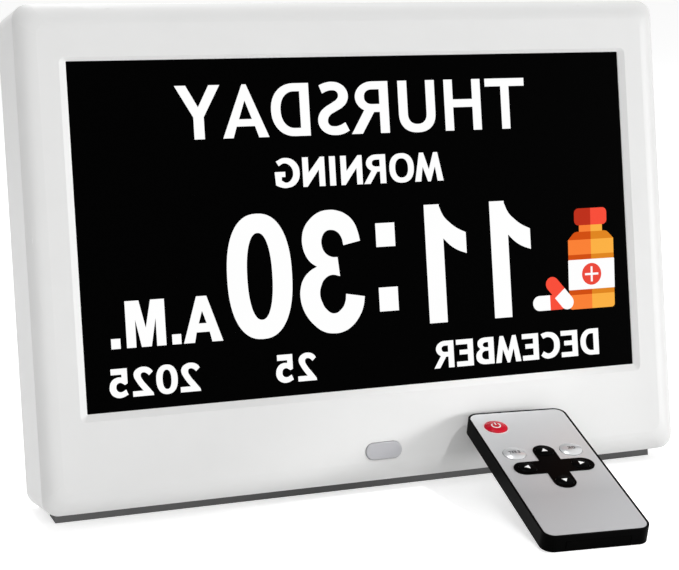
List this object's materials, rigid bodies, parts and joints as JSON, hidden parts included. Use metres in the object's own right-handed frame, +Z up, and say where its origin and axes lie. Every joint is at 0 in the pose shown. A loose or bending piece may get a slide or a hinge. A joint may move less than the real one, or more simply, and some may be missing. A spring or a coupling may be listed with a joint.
{
  "type": "day clock",
  "caption": "Free-standing electronic day clock with a wide black screen in a white frame, a folding rear leg, wall keyholes and a slim card remote leaning on its front.",
  "frame": {"origin": "middle of the foot strip's sole, on the table", "axes": "+X to the right seen from the front, +Y to the rear, +Z up; the clock leans back 9.06 degrees about X"},
  "size_m": [0.2578, 0.1782, 0.1842],
  "materials": {
    "white_shell": "fine satin moulded surface, off-white",
    "key_grey": "satin light grey",
    "screw_steel": "dark zinc plate",
    "black_rubber": "matt",
    "screen_glass": "black screen with lit lettering",
    "light_guide": "clear to milky",
    "sheet_steel": "plain sheet",
    "ribbon": "flat cable",
    "oval_grey": "smooth grey window",
    "chip_black": "moulded black",
    "board_green": "solder mask green",
    "socket_white": "natural nylon",
    "cell_steel": "nickel",
    "jack_black": "moulded black",
    "speaker_black": "basket and paper cone",
    "foam_black": "foam ring",
    "remote_black": "satin black",
    "remote_silver": "light grey printed sheet",
    "remote_gloss_black": "glossy black",
    "remote_red": "glossy red dome",
    "dome_silver": "glossy silver dome",
    "contact_brass": "spring contact",
    "led_clear": "smoked clear"
  },
  "bodies": {
    "root": {"front_frame": "white_shell", "rear_cover": "white_shell", "case_screws": "screw_steel", "foot_strip": "black_rubber", "lcd_glass": "screen_glass", "lcd_backlight": "light_guide", "lcd_metal_frame": "sheet_steel", "lcd_brackets": "sheet_steel", "bracket_screws": "screw_steel", "lcd_cable": "ribbon", "ir_window": "oval_grey", "ir_receiver": "chip_black", "ir_board": "board_green", "ir_cable": "ribbon", "main_board": "board_green", "board_chips": "chip_black", "board_connectors": "socket_white", "board_screws": "screw_steel", "coin_cell_holder": "chip_black", "backup_coin_cell": "cell_steel", "dc_jack": "jack_black", "key_board": "board_green", "key_switches": "chip_black", "key_cable": "ribbon", "speaker": "speaker_black", "speaker_gasket": "foam_black", "speaker_clamp": "sheet_steel", "stand_hinge_pin": "sheet_steel"},
    "leg": {"stand_leg": "white_shell", "stand_leg_feet": "black_rubber"},
    "key_exit": {"key_exit": "key_grey"},
    "key_down": {"key_down": "key_grey"},
    "key_ok": {"key_ok": "key_grey"},
    "key_up": {"key_up": "key_grey"},
    "key_menu": {"key_menu": "key_grey"},
    "key_power": {"key_power": "key_grey"},
    "remote": {"remote_case": "remote_black", "remote_board": "board_green", "remote_contact": "contact_brass", "remote_ir_led": "led_clear", "remote_face": "remote_silver", "remote_cross": "remote_gloss_black"},
    "remote_key_power": {"remote_key_power": "remote_red"},
    "remote_key_exit": {"remote_key_exit": "dome_silver"},
    "remote_key_ok": {"remote_key_ok": "dome_silver"},
    "remote_key_up": {"remote_key_up": "remote_gloss_black"},
    "remote_key_down": {"remote_key_down": "remote_gloss_black"},
    "remote_key_left": {"remote_key_left": "remote_gloss_black"},
    "remote_key_right": {"remote_key_right": "remote_gloss_black"},
    "battery_tray": {"remote_battery_tray": "remote_black", "remote_coin_cell": "cell_steel"}
  },
  "joints": [
    {"name": "leg_fold", "type": "hinge", "parent": "root", "child": "leg", "pos_m": [0, 0.01415, 0.01253], "axis": [1, 0, 0], "range_deg": [0, 89.78]},
    {"name": "key_exit_press", "type": "slide", "parent": "root", "child": "key_exit", "axis": [0, -0.9875, 0.1575], "range_m": [0, 0.0004], "stiffness_N_per_m": 400},
    {"name": "key_down_press", "type": "slide", "parent": "root", "child": "key_down", "axis": [0, -0.9875, 0.1575], "range_m": [0, 0.0004], "stiffness_N_per_m": 400},
    {"name": "key_ok_press", "type": "slide", "parent": "root", "child": "key_ok", "axis": [0, -0.9875, 0.1575], "range_m": [0, 0.0004], "stiffness_N_per_m": 400},
    {"name": "key_up_press", "type": "slide", "parent": "root", "child": "key_up", "axis": [0, -0.9875, 0.1575], "range_m": [0, 0.0004], "stiffness_N_per_m": 400},
    {"name": "key_menu_press", "type": "slide", "parent": "root", "child": "key_menu", "axis": [0, -0.9875, 0.1575], "range_m": [0, 0.0004], "stiffness_N_per_m": 400},
    {"name": "key_power_press", "type": "slide", "parent": "root", "child": "key_power", "axis": [0, -0.9875, 0.1575], "range_m": [0, 0.0004], "stiffness_N_per_m": 400},
    {"name": "remote_lift", "type": "slide", "parent": "root", "child": "remote", "axis": [0, 0, 1], "range_m": [0, 0.12]},
    {"name": "remote_key_power_press", "type": "slide", "parent": "remote", "child": "remote_key_power", "axis": [0.0271, 0.2574, -0.9659], "range_m": [0, 0.00025], "stiffness_N_per_m": 500},
    {"name": "remote_key_exit_press", "type": "slide", "parent": "remote", "child": "remote_key_exit", "axis": [0.0271, 0.2574, -0.9659], "range_m": [0, 0.00025], "stiffness_N_per_m": 500},
    {"name": "remote_key_ok_press", "type": "slide", "parent": "remote", "child": "remote_key_ok", "axis": [0.0271, 0.2574, -0.9659], "range_m": [0, 0.00025], "stiffness_N_per_m": 500},
    {"name": "remote_key_up_press", "type": "slide", "parent": "remote", "child": "remote_key_up", "axis": [0.0271, 0.2574, -0.9659], "range_m": [0, 0.00025], "stiffness_N_per_m": 500},
    {"name": "remote_key_down_press", "type": "slide", "parent": "remote", "child": "remote_key_down", "axis": [0.0271, 0.2574, -0.9659], "range_m": [0, 0.00025], "stiffness_N_per_m": 500},
    {"name": "remote_key_left_press", "type": "slide", "parent": "remote", "child": "remote_key_left", "axis": [0.0271, 0.2574, -0.9659], "range_m": [0, 0.00025], "stiffness_N_per_m": 500},
    {"name": "remote_key_right_press", "type": "slide", "parent": "remote", "child": "remote_key_right", "axis": [0.0271, 0.2574, -0.9659], "range_m": [0, 0.00025], "stiffness_N_per_m": 500},
    {"name": "battery_tray_slide", "type": "slide", "parent": "remote", "child": "battery_tray", "axis": [-0.101, -0.9606, -0.2588], "range_m": [0, 0.026]}
  ]
}
